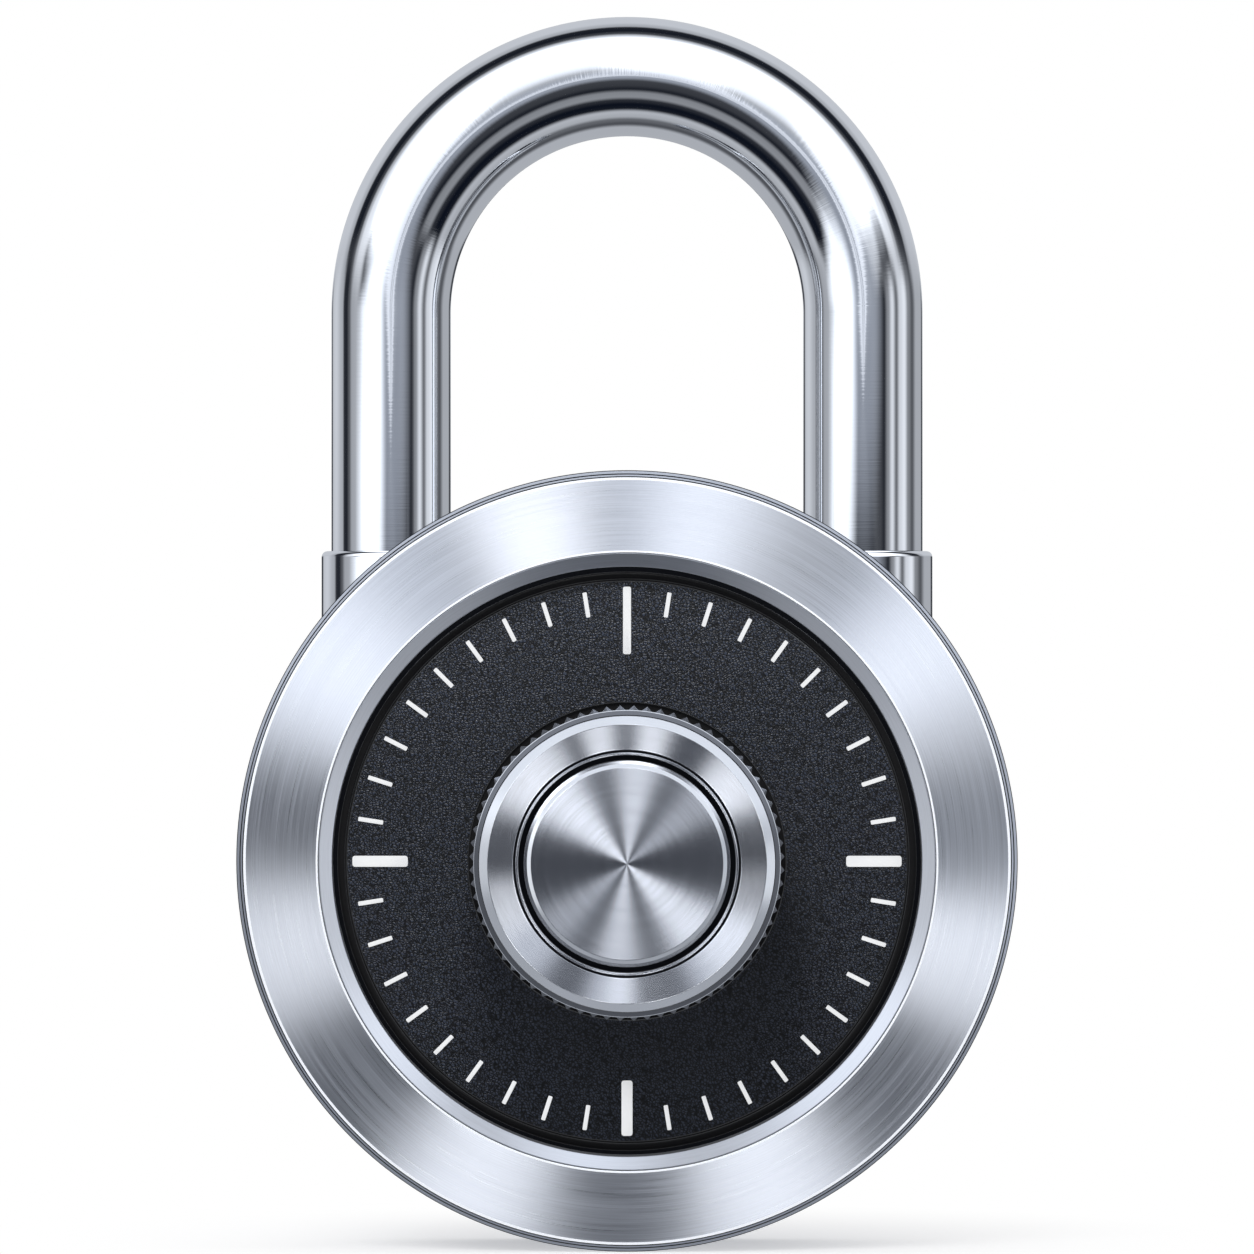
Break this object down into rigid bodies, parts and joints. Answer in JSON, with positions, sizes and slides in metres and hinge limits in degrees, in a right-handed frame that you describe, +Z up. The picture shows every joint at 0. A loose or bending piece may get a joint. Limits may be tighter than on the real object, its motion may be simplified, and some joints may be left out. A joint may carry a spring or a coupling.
{
  "type": "combination padlock",
  "caption": "Round padlock with a turning dial and knurled knob; the U-shaped shackle slides up out of the case once the inner wheels let the locking lever go.",
  "frame": {"origin": "centre of the back cover's flat face, on the dial's axis", "axes": "+Z up along the shackle's legs, +Y out of the back face, so the dial faces -Y; +X to the right seen from the front"},
  "size_m": [0.0466, 0.0223, 0.0741],
  "materials": {
    "case_steel": "satin",
    "brushed_steel": "spun brushed",
    "chrome": "polished",
    "zinc_casting": "as cast",
    "dial_plastic": "fine grain",
    "knob_dark_metal": "knurled, dark",
    "brass": "machined",
    "spring_steel": "plain"
  },
  "bodies": {
    "case": {"case_shell": "case_steel", "back_cover": "case_steel", "front_bezel": "brushed_steel", "case_rivet_1": "case_steel", "case_rivet_2": "case_steel", "case_rivet_3": "case_steel", "heel_collar": "chrome", "toe_collar": "chrome", "chassis": "zinc_casting", "front_plate": "zinc_casting", "wheel_spacer_1": "brass", "wheel_spacer_2": "brass", "wheel_post": "brass", "spindle_bush": "brass", "dial_wave_washer": "spring_steel", "lever_spring": "spring_steel", "lever_pivot_pin": "spring_steel", "heel_pin": "spring_steel"},
    "shackle": {"shackle": "chrome"},
    "dial": {"dial": "dial_plastic", "knob_grip": "knob_dark_metal", "knob_bevel_ring": "brushed_steel", "knob_cap": "brushed_steel", "knob_screw": "case_steel", "dial_spindle": "case_steel", "drive_disc": "brass", "drive_disc_clip": "spring_steel"},
    "wheel_1": {"wheel_1": "brass"},
    "wheel_2": {"wheel_2": "brass"},
    "lever": {"locking_lever": "spring_steel"}
  },
  "joints": [
    {"name": "shackle_lift", "type": "slide", "parent": "case", "child": "shackle", "axis": [0, 0, 1], "range_m": [0, 0.0105]},
    {"name": "dial_spin", "type": "hinge", "parent": "case", "child": "dial", "pos_m": [0, 0, 0], "axis": [0, -1, 0], "continuous": true},
    {"name": "wheel_2_spin", "type": "hinge", "parent": "case", "child": "wheel_2", "pos_m": [0, 0, 0], "axis": [0, -1, 0], "continuous": true},
    {"name": "wheel_1_spin", "type": "hinge", "parent": "case", "child": "wheel_1", "pos_m": [0, 0, 0], "axis": [0, -1, 0], "continuous": true},
    {"name": "lever_pivot", "type": "hinge", "parent": "case", "child": "lever", "pos_m": [0.01305, -0.00635, -0.009], "axis": [0, 1, 0], "range_deg": [0, 4]}
  ],
  "couplings": [
    {"joint": "wheel_2_spin", "follows": "dial_spin", "ratio": 1},
    {"joint": "wheel_1_spin", "follows": "dial_spin", "ratio": 1}
  ]
}
